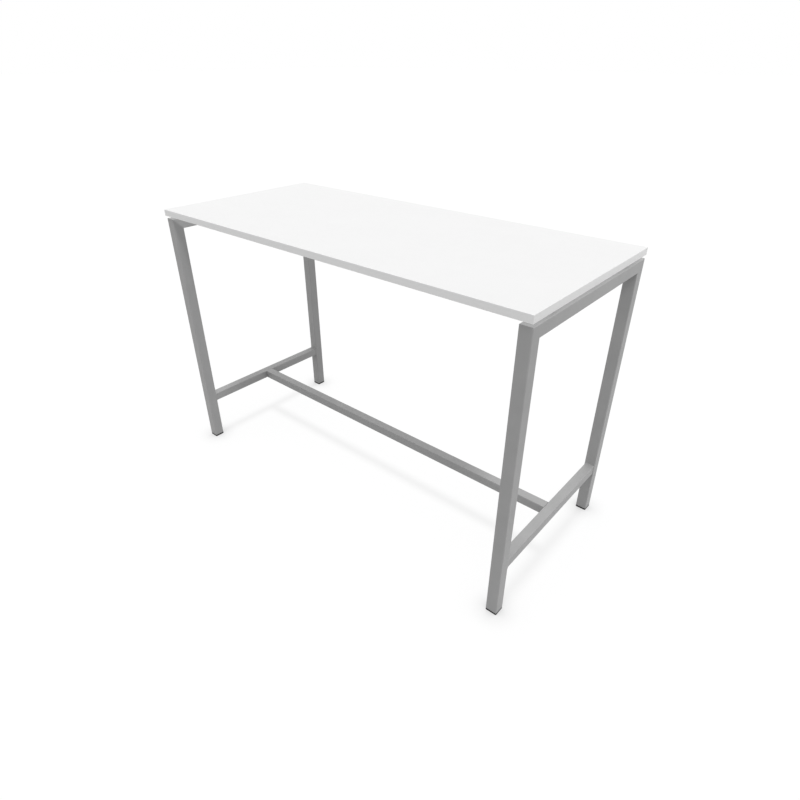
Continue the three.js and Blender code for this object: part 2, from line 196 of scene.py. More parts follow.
# Studio
AMBIENT = 0.8
KEY_RISE = math.radians(66)
KEY_TURN = math.radians(-24)
KEY_SPREAD = math.radians(11)
KEY_STRENGTH = 1.15
FLOOR_LAMP_RISE = math.radians(90)
FLOOR_LAMP_TURN = 0
FLOOR_LAMP_SPREAD = math.radians(16)
FLOOR_LAMP_STRENGTH = 1.64
PANEL_LENGTH = 1500 * MM
PANEL_WIDTH = 620 * MM
PANEL_LEVEL = 2 * MM
PANEL_POWER = 4
OVERHEAD_LEVEL = 800 * MM
FLOOR_CASTERS = (
    "_leg_visual",
    "_foot_rail_visual",
    "stretcher_visual",
    "_leg_plug_visual",
    "_glide_pad_visual",
)
FLOOR_REACH = 60
FLOOR_SLOPE = (500 * MM, 200 * MM)
FLOOR_DROP = 0.05 * MM
FLOOR_BOUNCE = 0.242
FLOOR_SHADE = 0.22
FLOOR_GLOW = 0.729
# How far and how strongly ambient occlusion dims the floor's glow round the feet: a painted contact shadow
CONTACT_REACH = 70 * MM
PAINTED_CONTACT_SHADE = 0.42
CONTACT_SAMPLES = 4


# Shader nodes

def link(tree, value, socket):
    """Sets a socket to a number or colour, or links it to another node's output."""
    if isinstance(value, bpy.types.NodeSocket):
        tree.links.new(value, socket)
    else:
        socket.default_value = value


def maths(tree, operation, *values):
    """The result of a sum of numbers and outputs."""
    node = tree.nodes.new("ShaderNodeMath")
    node.operation = operation
    for socket, value in zip(node.inputs, values):
        link(tree, value, socket)
    return node.outputs["Value"]


def place_on(tree, stretch=(1, 1, 1)):
    """Places on the piece in metres, with each axis scaled."""
    coordinates = tree.nodes.new("ShaderNodeTexCoord")
    mapping = tree.nodes.new("ShaderNodeMapping")
    tree.links.new(coordinates.outputs["Object"], mapping.inputs["Vector"])
    mapping.inputs["Scale"].default_value = stretch
    return mapping.outputs["Vector"]


def noise(tree, grain, detail=2, stretch=(1, 1, 1)):
    """Cloudy noise with features about one grain wide."""
    node = tree.nodes.new("ShaderNodeTexNoise")
    tree.links.new(place_on(tree, stretch), node.inputs["Vector"])
    node.inputs["Scale"].default_value = 1 / grain
    node.inputs["Detail"].default_value = detail
    return node.outputs["Fac"]


def cells(tree, grain, output, stretch=(1, 1, 1)):
    """Cells about one grain wide: the distance from each cell's middle, or each cell's own colour."""
    node = tree.nodes.new("ShaderNodeTexVoronoi")
    tree.links.new(place_on(tree, stretch), node.inputs["Vector"])
    node.inputs["Scale"].default_value = 1 / grain
    return node.outputs[output]


def both(tree, first, second, share):
    """A sum of two patterns, with the share that the second one has in it."""
    part = maths(tree, "MULTIPLY", first, 1 - share)
    return maths(tree, "MULTIPLY_ADD", second, share, part)


def tinted(tree, pattern, low, high, span=(0.3, 0.7)):
    """Colours from low to high across a pattern."""
    node = tree.nodes.new("ShaderNodeValToRGB")
    tree.links.new(pattern, node.inputs["Fac"])
    for element, position, colour in zip(node.color_ramp.elements, span, (low, high)):
        element.position = position
        element.color = (*colour, 1)
    return node.outputs["Color"]


def graded(tree, pattern, low, high, span=(0.3, 0.7)):
    """Numbers from low to high across a pattern."""
    node = tree.nodes.new("ShaderNodeMapRange")
    tree.links.new(pattern, node.inputs["Value"])
    node.inputs["From Min"].default_value = span[0]
    node.inputs["From Max"].default_value = span[1]
    node.inputs["To Min"].default_value = low
    node.inputs["To Max"].default_value = high
    return node.outputs["Result"]


def bumped(tree, pattern, depth, under=None):
    """A surface that a pattern raises by up to a depth."""
    node = tree.nodes.new("ShaderNodeBump")
    node.inputs["Distance"].default_value = depth
    tree.links.new(pattern, node.inputs["Height"])
    if under:
        tree.links.new(under, node.inputs["Normal"])
    return node.outputs["Normal"]


def grey(level, warmth=0):
    """A linear grey, with a little more red and less blue where it is warm."""
    return level * (1 + warmth), level, level * (1 - warmth)


def new_finish(name, colour, roughness, normal, metallic=0, shine=0.5):
    """A material whose colour, roughness and surface come from functions of its node tree."""
    material = bpy.data.materials.new(name)
    material.use_nodes = True
    tree = material.node_tree
    shader = tree.nodes["Principled BSDF"]
    shader.inputs["Metallic"].default_value = metallic
    shader.inputs["Specular IOR Level"].default_value = shine
    tree.links.new(colour(tree), shader.inputs["Base Color"])
    tree.links.new(roughness(tree), shader.inputs["Roughness"])
    tree.links.new(normal(tree), shader.inputs["Normal"])
    return material


def powder_coat():
    """Silver-grey powder coat: a fine pebbled skin with a slight cloudiness."""
    def colour(tree):
        flecks = noise(tree, grain=0.5 * MM, detail=3)
        clouds = noise(tree, grain=70 * MM)
        mixed = both(tree, flecks, clouds, share=0.25)
        return tinted(tree, mixed, low=grey(0.325), high=grey(0.415))

    def roughness(tree):
        return graded(tree, noise(tree, grain=1.5 * MM), low=0.36, high=0.48)

    def normal(tree):
        peel = bumped(tree, noise(tree, grain=2.2 * MM, detail=1), depth=0.06 * MM)
        return bumped(tree, noise(tree, grain=0.6 * MM), depth=0.03 * MM, under=peel)

    return new_finish("silver_powder_coat_finish", colour, roughness, normal)


def laminate():
    """White laminate with a pearl texture pressed into it."""
    def colour(tree):
        clouds = noise(tree, grain=140 * MM)
        pearl = noise(tree, grain=0.9 * MM)
        mixed = both(tree, clouds, pearl, share=0.4)
        # The laminate's white is a little darker than the edge band's, so that the brightly lit top stays
        # short of pure white: painted shade
        return tinted(tree, mixed, low=grey(0.8), high=grey(0.815))

    def roughness(tree):
        return graded(tree, noise(tree, grain=30 * MM, detail=4), low=0.4, high=0.5)

    def normal(tree):
        return bumped(tree, noise(tree, grain=0.9 * MM, detail=1), depth=0.03 * MM)

    return new_finish("white_laminate_finish", colour, roughness, normal)


def edge_plastic(name, stretch):
    """White edge band with faint lines along it from its making."""
    def colour(tree):
        lines = noise(tree, grain=1.2 * MM, stretch=stretch)
        clouds = noise(tree, grain=90 * MM)
        mixed = both(tree, clouds, lines, share=0.4)
        # The band's white is lighter than the laminate's, to make up for the less light on the board's
        # edges: painted light
        return tinted(tree, mixed, low=grey(0.87), high=grey(0.89))

    def roughness(tree):
        return graded(tree, noise(tree, grain=3 * MM, stretch=stretch), low=0.34, high=0.46)

    def normal(tree):
        return bumped(tree, noise(tree, grain=0.8 * MM, stretch=stretch), depth=0.015 * MM)

    return new_finish(name, colour, roughness, normal)


def moulded_plastic():
    """Black moulded plastic with an eroded grain and dull wear."""
    def colour(tree):
        grain = noise(tree, grain=0.7 * MM)
        scuffs = noise(tree, grain=6 * MM, detail=5)
        mixed = both(tree, grain, scuffs, share=0.5)
        return tinted(tree, mixed, low=grey(0.004), high=grey(0.012))

    def roughness(tree):
        return graded(tree, noise(tree, grain=4 * MM, detail=4), low=0.55, high=0.75)

    def normal(tree):
        return bumped(tree, noise(tree, grain=0.5 * MM), depth=0.03 * MM)

    return new_finish("black_plastic_finish", colour, roughness, normal, shine=0.2)


def zinc_plate():
    """Zinc-plated steel with faint spangle and rolling marks."""
    def colour(tree):
        spangle = cells(tree, grain=2.5 * MM, output="Distance")
        clouds = noise(tree, grain=12 * MM, detail=4)
        mixed = both(tree, clouds, spangle, share=0.4)
        return tinted(tree, mixed, low=grey(0.46, warmth=-0.02), high=grey(0.62, warmth=-0.01))

    def roughness(tree):
        return graded(tree, noise(tree, grain=1.5 * MM, detail=4), low=0.26, high=0.44)

    def normal(tree):
        return bumped(tree, noise(tree, grain=0.4 * MM), depth=0.008 * MM)

    return new_finish("zinc_steel_finish", colour, roughness, normal, metallic=1)


def turned_brass():
    """Brass with fine turning lines round it and a little tarnish."""
    def colour(tree):
        tarnish = noise(tree, grain=5 * MM, detail=4)
        return tinted(tree, tarnish, low=(0.42, 0.27, 0.09), high=(0.62, 0.43, 0.17))

    def roughness(tree):
        return graded(tree, noise(tree, grain=2 * MM, detail=3), low=0.28, high=0.46)

    def normal(tree):
        return bumped(tree, noise(tree, grain=0.3 * MM, stretch=(0.1, 0.1, 1)), depth=0.01 * MM)

    return new_finish("brass_sleeve_finish", colour, roughness, normal, metallic=1)


def chipboard():
    """Pressed wood chips of several browns."""
    def colour(tree):
        chips = cells(tree, grain=CHIP_SIZE, output="Color", stretch=CHIP_STRETCH)
        fibres = noise(tree, grain=0.6 * MM, detail=4, stretch=(0.3, 1, 1))
        mixed = both(tree, chips, fibres, share=0.4)
        return tinted(tree, mixed, low=(0.26, 0.16, 0.08), high=(0.60, 0.44, 0.27))

    def roughness(tree):
        return graded(tree, noise(tree, grain=3 * MM), low=0.8, high=0.95)

    def normal(tree):
        chips = cells(tree, grain=CHIP_SIZE, output="Distance", stretch=CHIP_STRETCH)
        return bumped(tree, chips, depth=0.2 * MM)

    return new_finish("particle_board_finish", colour, roughness, normal)


FINISHES = {
    "silver_powder_coat": powder_coat(),
    "white_laminate": laminate(),
    "black_plastic": moulded_plastic(),
    "zinc_steel": zinc_plate(),
    "brass_sleeve": turned_brass(),
    "particle_board": chipboard(),
}
BAND_FINISHES = {
    X: edge_plastic("white_edge_band_long_finish", stretch=(BAND_LINE_STRETCH, 1, 1)),
    Y: edge_plastic("white_edge_band_short_finish", stretch=(1, BAND_LINE_STRETCH, 1)),
}


# Meshes

def outline(low, high, corner, steps=CORNER_STEPS):
    """Points anticlockwise round a rectangle with round corners.

    The corner is one radius, or four of them from the lower right.
    """
    radii = corner if isinstance(corner, tuple) else (corner,) * 4
    points = []
    for quarter, radius in enumerate(radii):
        centre_a = high[0] - radius if quarter < 2 else low[0] + radius
        centre_b = high[1] - radius if quarter in (1, 2) else low[1] + radius
        for step in range(steps + 1):
            angle = (quarter - 1 + step / steps) * QUARTER
            points.append((centre_a + radius * math.cos(angle), centre_b + radius * math.sin(angle)))
    return points


def ring(radius, level, start=0):
    """Points round Z at a level; the radius is a number or a function of the angle."""
    points = []
    for i in range(ROUND_SIDES):
        angle = start + TURN * i / ROUND_SIDES
        reach = radius(angle) if callable(radius) else radius
        points.append((reach * math.cos(angle), reach * math.sin(angle), level))
    return points


def loft(name, rings, closed=False):
    """A mesh of faces between neighbouring rings; its ends are capped, or joined to each other."""
    shape = bmesh.new()
    rows = [[shape.verts.new(point) for point in points] for points in rings]
    following = rows[1:] + rows[:1] if closed else rows[1:]
    for row, next_row in zip(rows, following):
        for i, vertex in enumerate(row):
            j = (i + 1) % len(row)
            shape.faces.new((vertex, row[j], next_row[j], next_row[i]))
    if not closed:
        shape.faces.new(rows[0])
        shape.faces.new(rows[-1])
    bmesh.ops.recalc_face_normals(shape, faces=shape.faces)
    mesh = bpy.data.meshes.new(name)
    shape.to_mesh(mesh)
    shape.free()
    return mesh


def moved(mesh, x, y):
    """A copy of a mesh, moved level."""
    copy = mesh.copy()
    copy.transform(Matrix.Translation((x, y, 0)))
    return copy


def add_piece(name, mesh, slot, body="frame", finish=None):
    """An object for a mesh, with its finish, that rides on a body."""
    mesh.materials.clear()
    mesh.materials.append(finish or FINISHES[slot])
    mesh.shade_smooth()
    mesh.set_sharp_from_angle(angle=SHARP_ANGLE)
    piece = bpy.data.objects.new(name, mesh)
    bpy.context.scene.collection.objects.link(piece)
    piece.modifiers.new("flat_faces", "WEIGHTED_NORMAL").keep_sharp = True
    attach(piece, body)
    return piece


def stand_for(node, mesh, slot, body="frame", finish=None):
    """A finely shaped piece in place of a CAD node."""
    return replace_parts(add_piece(f"{node}_visual", mesh, slot, body, finish), node)


def drill(mesh, holes):
    """The mesh with upright round holes in it: each is its x, y, lowest and highest level and radius."""
    stock = bpy.data.objects.new("stock", mesh)
    cutters = []
    for x, y, low, high, radius in holes:
        cutter = moved(loft("drill", [ring(radius, low), ring(radius, high)]), x, y)
        cutters.append(bpy.data.objects.new("drill", cutter))
    for item in (stock, *cutters):
        bpy.context.scene.collection.objects.link(item)
    for cutter in cutters:
        cut = stock.modifiers.new("drill", "BOOLEAN")
        cut.operation = "DIFFERENCE"
        cut.solver = "EXACT"
        cut.object = cutter
    drilled = bpy.data.meshes.new_from_object(stock.evaluated_get(bpy.context.evaluated_depsgraph_get()))
    for item in (stock, *cutters):
        bpy.data.objects.remove(item)
    return drilled


def tube(name, low, high, axis, corner, wall, low_end=None, high_end=None):
    """A hollow tube along an axis.

    Its ends are square with broken edges, or mitred where a function gives them.
    """
    first, second = [k for k in range(3) if k != axis]
    square_low = low_end is None
    square_high = high_end is None
    low_end = low_end or (lambda a, b: low[axis])
    high_end = high_end or (lambda a, b: high[axis])

    def section(inset, end, step=0):
        near = (low[first] + inset, low[second] + inset)
        far = (high[first] - inset, high[second] - inset)
        points = []
        for a, b in outline(near, far, max(corner - inset, LEAST_CORNER)):
            point = [0, 0, 0]
            point[first] = a
            point[second] = b
            point[axis] = end(a, b) + step
            points.append(point)
        return points

    low_rim = [section(0, low_end)]
    if square_low:
        low_rim = [section(RIM_BREAK, low_end), section(0, low_end, RIM_BREAK)]
    high_rim = [section(0, high_end)]
    if square_high:
        high_rim = [section(0, high_end, -RIM_BREAK), section(RIM_BREAK, high_end)]
    inside = [section(wall, high_end), section(wall, low_end)]
    return loft(name, low_rim + high_rim + inside, closed=True)


def weld(name, stations, closed=False):
    """A rippled bead in a corner.

    Each station is a place in the corner and the two ways out along its faces.
    """
    rings = []
    fade_count = WELD_SIZE / WELD_SPACING
    for i, (place, along, across) in enumerate(stations):
        fade = 1 if closed else min(1, (i + 1) / fade_count, (len(stations) - i) / fade_count)
        ripple = WELD_RIPPLE * math.cos(TURN * i * WELD_SPACING / WELD_STEP) ** 2
        size = WELD_SIZE * fade * (1 - ripple)
        points = [
            place - along * WELD_SINK - across * WELD_ROOT,
            place + along * size - across * WELD_ROOT,
        ]
        for step in range(WELD_SIDES + 1):
            angle = QUARTER * step / WELD_SIDES
            points.append(place + along * size * math.cos(angle) + across * size * math.sin(angle))
        points.append(place + across * size - along * WELD_SINK)
        rings.append(points)
    return loft(name, rings, closed)


def straight_weld(name, start, end, along, across):
    """A bead along a straight corner."""
    count = round((end - start).length / WELD_SPACING)
    stations = [(start.lerp(end, i / count), along, across) for i in range(count + 1)]
    return weld(name, stations)


def round_weld(name, low, high, corner, level, along):
    """A bead all round the end of a tube along Y, at a level, with the way along the tube from there."""
    stations = []
    points = outline(low, high, corner)
    for (a, b), (c, d) in zip(points, points[1:] + points[:1]):
        run = math.hypot(c - a, d - b)
        count = max(1, round(run / WELD_SPACING))
        for i in range(count):
            place = Vector((a + (c - a) * i / count, level, b + (d - b) * i / count))
            stations.append((place, along, Vector(((d - b) / run, 0, (a - c) / run))))
    return weld(name, stations, closed=True)


def end_steps(radius):
    """Distances from an end at which its round corner is drawn, from the end inwards."""
    return [radius * (1 - math.cos(QUARTER * k / END_STEPS)) for k in range(END_STEPS + 1)]


def end_inset(distance, radius):
    """How far a round corner draws an edge in, at a distance from the end."""
    rest = max(radius - distance, 0)
    return radius - math.sqrt(radius ** 2 - rest ** 2)


def edge_band(name, low, high, axis, outward, end_radius):
    """A strip along the board's edge with a rounded outer face, and rounded ends if they have a radius."""
    across = Y if axis == X else X
    near_steps = end_steps(end_radius)
    stops = [low[axis] + step for step in near_steps] + [high[axis] - step for step in reversed(near_steps)]
    radii = (BAND_RADIUS, BAND_RADIUS, BAND_INNER_CORNER, BAND_INNER_CORNER)
    if outward < 0:
        radii = radii[2:] + radii[:2]
    rings = []
    for stop in sorted(set(stops)):
        inset = end_inset(min(stop - low[axis], high[axis] - stop), end_radius)
        inner = low[across] + (inset if outward < 0 else 0)
        outer = high[across] - (inset if outward > 0 else 0)
        points = []
        for a, b in outline((inner, low.z), (outer, high.z), radii):
            point = [0, 0, b]
            point[axis] = stop
            point[across] = a
            points.append(point)
        rings.append(points)
    return loft(name, rings)


def hexagon(across_flats, limit=math.inf):
    """The radius of a hexagon at an angle, with its corners turned down to a limit."""
    def radius(angle):
        return min(limit, across_flats / 2 / math.cos(angle % SIXTH - SIXTH / 2))

    return radius


def lobed(mean):
    """The radius of a lobed recess at an angle."""
    def radius(angle):
        return mean * (1 + LOBE_SHARE * math.cos(LOBES * angle))

    return radius


def thread(radius, depth, pitch, low, high):
    """Rings of a screw thread about Z, which fades out at both ends."""
    def thread_ring(level):
        fade = min(1, (level - low) / pitch, (high - level) / pitch)

        def reach(angle):
            phase = (level / pitch - angle / TURN) % 1
            return radius - depth * fade * abs(2 * phase - 1)

        return ring(reach, level)

    count = round((high - low) / pitch * THREAD_STEPS)
    return [thread_ring(low + (high - low) * k / count) for k in range(count + 1)]


def screw(name, low, high, shank, head, head_height, recess, pitch, depth):
    """A round-headed screw about Z that points up, with its head at low and its tip at high."""
    seat = low + head_height
    floor = low + head_height * RECESS_SHARE
    crown = head * CROWN_SHARE
    rings = [ring(recess, floor), ring(recess, low)]
    for k in range(DOME_STEPS + 1):
        angle = QUARTER * k / DOME_STEPS
        reach = crown + (head - crown) * math.sin(angle)
        rings.append(ring(reach, seat - head_height / 2 * (1 + math.cos(angle))))
    rings += [ring(head, seat), ring(shank, seat)]
    rings += thread(shank, depth, pitch, seat + pitch, high - pitch)
    rings.append(ring(shank - depth, high))
    return loft(name, rings)


def plug_square(level, inset, half):
    """Points round the plug at a level, drawn in from the tube's outline by an inset."""
    edge = half - inset
    points = outline((-edge, -edge), (edge, edge), max(LEG_CORNER - inset, LEAST_CORNER), PLUG_STEPS)
    return [(a, b, level) for a, b in points]


def plug_bore(radius, level):
    """Points round a bore of the plug, in step with those round its outside."""
    return ring(radius, level, start=TURN / ROUND_SIDES / 2 - QUARTER)


def leg_plug(name, low, high, half, flange_top, nut_floor):
    """The plastic plug in a leg: flange, finned core, and pockets for the nut, stud and pad."""
    rings = [
        plug_square(low, PLUG_EDGE, half),
        plug_square(low + PLUG_EDGE, 0, half),
        plug_square(flange_top, 0, half),
        plug_square(flange_top, PLUG_CORE_INSET, half),
    ]
    for i in range(PLUG_FINS):
        fin_low = flange_top + (high - flange_top) * (i + 1) / (PLUG_FINS + 1)
        fin_high = fin_low + PLUG_FIN_THICKNESS
        rings += [
            plug_square(fin_low, PLUG_CORE_INSET, half),
            plug_square(fin_low, PLUG_FIN_INSET, half),
            plug_square(fin_high, PLUG_FIN_INSET + PLUG_EDGE, half),
            plug_square(fin_high, PLUG_CORE_INSET, half),
        ]
    rings += [
        plug_square(high, PLUG_CORE_INSET, half),
        plug_bore(NUT_POCKET, high),
        plug_bore(NUT_POCKET, nut_floor),
        plug_bore(STUD_BORE, nut_floor),
        plug_bore(STUD_BORE, COLLAR_POCKET_TOP),
        plug_bore(COLLAR_POCKET, COLLAR_POCKET_TOP),
        plug_bore(COLLAR_POCKET, PAD_POCKET_TOP),
        plug_bore(PAD_POCKET, PAD_POCKET_TOP),
        plug_bore(PAD_POCKET, low),
    ]
    return loft(name, rings, closed=True)


def plug_nut(name, low, high, radius):
    """A knurled threaded nut pressed into the plug."""
    def knurl(angle):
        return radius - NUT_KNURL_DEPTH * (1 - math.cos(NUT_KNURLS * angle)) / 2

    rings = [
        ring(radius - NUT_EDGE, low),
        ring(knurl, low + NUT_EDGE),
        ring(knurl, high - NUT_EDGE),
        ring(radius - NUT_EDGE, high),
        ring(STUD_BORE, high),
        ring(STUD_BORE, low),
    ]
    return loft(name, rings, closed=True)


def glide_pad(name, radius, hub_top):
    """The pad that stands on the floor: grooved underneath, with a hub that holds the stud's foot."""
    rings = []
    for groove in PAD_GROOVES:
        rings += [
            ring(groove, 0),
            ring(groove + PAD_GROOVE_SIDE, PAD_GROOVE_DEPTH),
            ring(groove + PAD_GROOVE_WIDTH - PAD_GROOVE_SIDE, PAD_GROOVE_DEPTH),
            ring(groove + PAD_GROOVE_WIDTH, 0),
        ]
    for k in range(BEND_STEPS + 1):
        angle = QUARTER * k / BEND_STEPS
        rings.append(ring(radius - PAD_EDGE * (1 - math.sin(angle)), PAD_EDGE * (1 - math.cos(angle))))
    rings += [
        ring(radius, PAD_THICKNESS - PAD_EDGE / 2),
        ring(radius - PAD_EDGE / 2, PAD_THICKNESS),
        ring(HUB_RADIUS, PAD_THICKNESS),
        ring(HUB_RADIUS, hub_top - HUB_EDGE),
        ring(HUB_RADIUS - HUB_EDGE, hub_top),
        ring(STUD_BORE, hub_top),
        ring(STUD_BORE, PAD_CAVITY_TOP),
        ring(PAD_CAVITY, PAD_CAVITY_TOP),
        ring(PAD_CAVITY, PAD_CAVITY_FLOOR),
    ]
    return loft(name, rings)


def glide_stud(name, low, high):
    """A levelling stud: foot, neck, hexagon collar and thread."""
    foot_top = low + STUD_FOOT_THICKNESS
    inner = COLLAR_FLATS / 2
    rings = [
        ring(STUD_FOOT - STUD_FOOT_EDGE, low),
        ring(STUD_FOOT, low + STUD_FOOT_EDGE),
        ring(STUD_FOOT, foot_top - STUD_FOOT_EDGE),
        ring(STUD_FOOT - STUD_FOOT_EDGE, foot_top),
        ring(STUD_NECK, foot_top),
        ring(STUD_NECK, COLLAR_BOTTOM),
    ]
    corner_growth = inner / math.cos(SIXTH / 2) - inner
    lower_chamfer = []
    upper_chamfer = []
    for k in range(CHAMFER_STEPS + 1):
        share = k / CHAMFER_STEPS
        flank = hexagon(COLLAR_FLATS, inner + corner_growth * share)
        lower_chamfer.append(ring(flank, COLLAR_BOTTOM + COLLAR_CHAMFER * share))
        upper_chamfer.append(ring(flank, COLLAR_TOP - COLLAR_CHAMFER * share))
    rings += lower_chamfer + upper_chamfer[::-1]
    rings.append(ring(STUD_RADIUS, COLLAR_TOP))
    rings += thread(STUD_RADIUS, STUD_THREAD, STUD_PITCH, COLLAR_TOP + STUD_CHAMFER, high - STUD_CHAMFER)
    rings.append(ring(STUD_RADIUS - STUD_CHAMFER, high))
    return loft(name, rings)


def board_insert(name, low, high, radius):
    """A brass sleeve with a coarse thread outside that bites into the board."""
    edge = INSERT_THREAD / 2
    rings = [ring(radius - INSERT_THREAD, low)]
    rings += thread(radius, INSERT_THREAD, INSERT_PITCH, low + edge, high - edge)
    rings += [
        ring(radius - INSERT_THREAD, high),
        ring(MACHINE_HOLE, high),
        ring(MACHINE_HOLE, low),
    ]
    return loft(name, rings, closed=True)


def spacer(name, low, high, radius):
    """A round spacer between frame and board, with rounded edges and a hole for the screw."""
    rings = []
    for level, way in ((low, 1), (high, -1)):
        corner = []
        for k in range(CORNER_STEPS + 1):
            angle = QUARTER * k / CORNER_STEPS
            reach = radius - SPACER_EDGE * (1 - math.sin(angle))
            corner.append(ring(reach, level + way * SPACER_EDGE * (1 - math.cos(angle))))
        rings += corner if way > 0 else reversed(corner)
    rings += [ring(MACHINE_HOLE, high), ring(MACHINE_HOLE, low)]
    return loft(name, rings, closed=True)


def folded_bracket(name, low, high, inward):
    """A folded sheet bracket: an upright on the tube, a bend, and a ledge that the beam lies on."""
    face = high.x if inward < 0 else low.x
    reach = high.x - low.x
    centre_y = (low.y + high.y) / 2
    width = high.y - low.y
    bend = SHEET_BEND + SHEET_THICKNESS
    stations = []
    for step in end_steps(SHEET_CORNER):
        stations.append((0, high.z - step, 1, 0, end_inset(step, SHEET_CORNER)))
    for k in range(BEND_STEPS + 1):
        angle = QUARTER * k / BEND_STEPS
        out = bend * (1 - math.cos(angle))
        down = low.z + bend * (1 - math.sin(angle))
        stations.append((out, down, math.cos(angle), math.sin(angle), 0))
    for step in reversed(end_steps(SHEET_CORNER)):
        stations.append((reach - step, low.z, 0, 1, end_inset(step, SHEET_CORNER)))
    rings = []
    for out, level, normal_out, normal_up, inset in stations:
        half = width / 2 - inset
        points = []
        for a, b in outline((0, -half), (SHEET_THICKNESS, half), SHEET_BREAK, BREAK_STEPS):
            points.append((face + inward * (out + normal_out * a), centre_y + b, level + normal_up * a))
        rings.append(points)
    return loft(name, rings)


def middle(node):
    """The middle of a CAD node's box."""
    low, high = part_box(node)
    return (low + high) / 2


# Pieces that keep their CAD shapes

for node, slot, in_top in (
    ("core_board", "particle_board", True),
    ("top_laminate", "white_laminate", True),
    ("backing_laminate", "white_laminate", True),
    ("left_stretcher_spigot", "zinc_steel", False),
    ("right_stretcher_spigot", "zinc_steel", False),
):
    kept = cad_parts[node]
    kept.data.materials.clear()
    kept.data.materials.append(FINISHES[slot])
    # Diffuse light passes through the tabletop, so that ambient light reaches what is under it
    kept.visible_diffuse = not in_top


# Edge bands, which are part of the tabletop too

for node, axis, outward, end_radius in (
    ("front_edge_band", X, -1, BAND_RADIUS),
    ("back_edge_band", X, 1, BAND_RADIUS),
    ("left_edge_band", Y, -1, 0),
    ("right_edge_band", Y, 1, 0),
):
    band = edge_band(node, *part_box(node), axis, outward, end_radius)
    shown_band = stand_for(node, band, "white_edge_band", finish=BAND_FINISHES[axis])
    shown_band.visible_diffuse = False


# End frames

frame_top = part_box("left_top_tube")[1].z
frame_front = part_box("left_front_leg")[0].y
frame_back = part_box("left_back_leg")[1].y


def mitred_front(x, z):
    """Where a top tube's front end is at a point of its section."""
    return frame_front + MITRE_HALF_GAP + frame_top - z


def mitred_back(x, z):
    """Where a top tube's back end is at a point of its section."""
    return frame_back - MITRE_HALF_GAP - frame_top + z


for foot in FEET:
    outer = frame_front if foot.endswith("front") else frame_back

    def mitred_top(x, y):
        """The level of a leg's top at a point of its section."""
        return frame_top - MITRE_HALF_GAP - abs(y - outer)

    low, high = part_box(f"{foot}_leg")
    leg = tube(f"{foot}_leg", low, high, Z, LEG_CORNER, LEG_WALL, high_end=mitred_top)
    stand_for(f"{foot}_leg", leg, "silver_powder_coat")

for end in ENDS:
    node = f"{end}_top_tube"
    low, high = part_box(node)
    bar = tube(node, low, high, Y, LEG_CORNER, LEG_WALL, mitred_front, mitred_back)
    level = (low.z + high.z) / 2
    holes = []
    for side in SIDES:
        place = middle(f"{end}_{side}_top_screw")
        holes.append((place.x, place.y, level, high.z + RIM_BREAK, MACHINE_HOLE))
        holes.append((place.x, place.y, low.z - RIM_BREAK, level, DRIVER_HOLE))
    stand_for(node, drill(bar, holes), "silver_powder_coat")

    node = f"{end}_foot_rail"
    low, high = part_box(node)
    leg_low, leg_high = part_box(f"{end}_front_leg")
    back_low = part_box(f"{end}_back_leg")[0]
    low.y = leg_high.y
    high.y = back_low.y
    rail = tube(node, low, high, Y, RAIL_CORNER, RAIL_WALL)
    stand_for(node, rail, "silver_powder_coat")
    for side, level, y_way in (("front", low.y, 1), ("back", high.y, -1)):
        name = f"{end}_{side}_rail_weld"
        inward = Vector((0, y_way, 0))
        bead = round_weld(name, (low.x, low.z), (high.x, high.z), RAIL_CORNER, level, inward)
        add_piece(name, bead, "silver_powder_coat")

        name = f"{end}_{side}_mitre_weld"
        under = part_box(f"{end}_top_tube")[1].z - (leg_high.x - leg_low.x)
        start = Vector((leg_low.x + LEG_CORNER, level, under))
        stop = Vector((leg_high.x - LEG_CORNER, level, under))
        bead = straight_weld(name, start, stop, Vector((0, 0, -1)), inward)
        add_piece(name, bead, "silver_powder_coat")


# Stretcher and beams

low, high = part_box("stretcher")
bar = tube("stretcher", low, high, X, RAIL_CORNER, RAIL_WALL)
level = (low.z + high.z) / 2
holes = []
for end in ENDS:
    place = middle(f"{end}_stretcher_screw")
    holes.append((place.x, place.y, low.z - RIM_BREAK, level, MACHINE_HOLE))
stand_for("stretcher", drill(bar, holes), "silver_powder_coat")

for side in SIDES:
    node = f"{side}_beam"
    low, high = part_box(node)
    bar = tube(node, low, high, X, BEAM_CORNER, BEAM_WALL)
    holes = []
    for end in ENDS:
        place = middle(f"{end}_{side}_beam_screw")
        holes.append((place.x, place.y, low.z - RIM_BREAK, high.z + RIM_BREAK, BEAM_HOLE))
    stand_for(node, drill(bar, holes), "silver_powder_coat")

for foot in FEET:
    x_sign = FEET[foot][X]
    node = f"{foot}_beam_bracket"
    low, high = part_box(node)
    place = middle(f"{foot}_beam_screw")
    sheet = folded_bracket(node, low, high, -x_sign)
    hole = (place.x, place.y, low.z - RIM_BREAK, low.z + SHEET_THICKNESS + RIM_BREAK, BEAM_HOLE)
    stand_for(node, drill(sheet, [hole]), "silver_powder_coat")
    face = high.x if x_sign > 0 else low.x
    weld_low = low.z + SHEET_THICKNESS + SHEET_BEND
    weld_high = high.z - SHEET_CORNER
    for edge, y, y_way in (("near", low.y, -1), ("far", high.y, 1)):
        name = f"{foot}_{edge}_bracket_weld"
        start = Vector((face, y, weld_low))
        stop = Vector((face, y, weld_high))
        bead = straight_weld(name, start, stop, Vector((-x_sign, 0, 0)), Vector((0, y_way, 0)))
        add_piece(name, bead, "silver_powder_coat")


# Screws, spacers and inserts

def machine_screw(node):
    """A machine screw with a hexagon socket, in place of a CAD node."""
    low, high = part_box(node)
    place = middle(node)
    bolt = screw(
        node, low.z, high.z, MACHINE_SHANK, MACHINE_HEAD, MACHINE_HEAD_HEIGHT,
        hexagon(MACHINE_KEY), MACHINE_PITCH, MACHINE_THREAD,
    )
    stand_for(node, moved(bolt, place.x, place.y), "zinc_steel")


for end in ENDS:
    machine_screw(f"{end}_stretcher_screw")

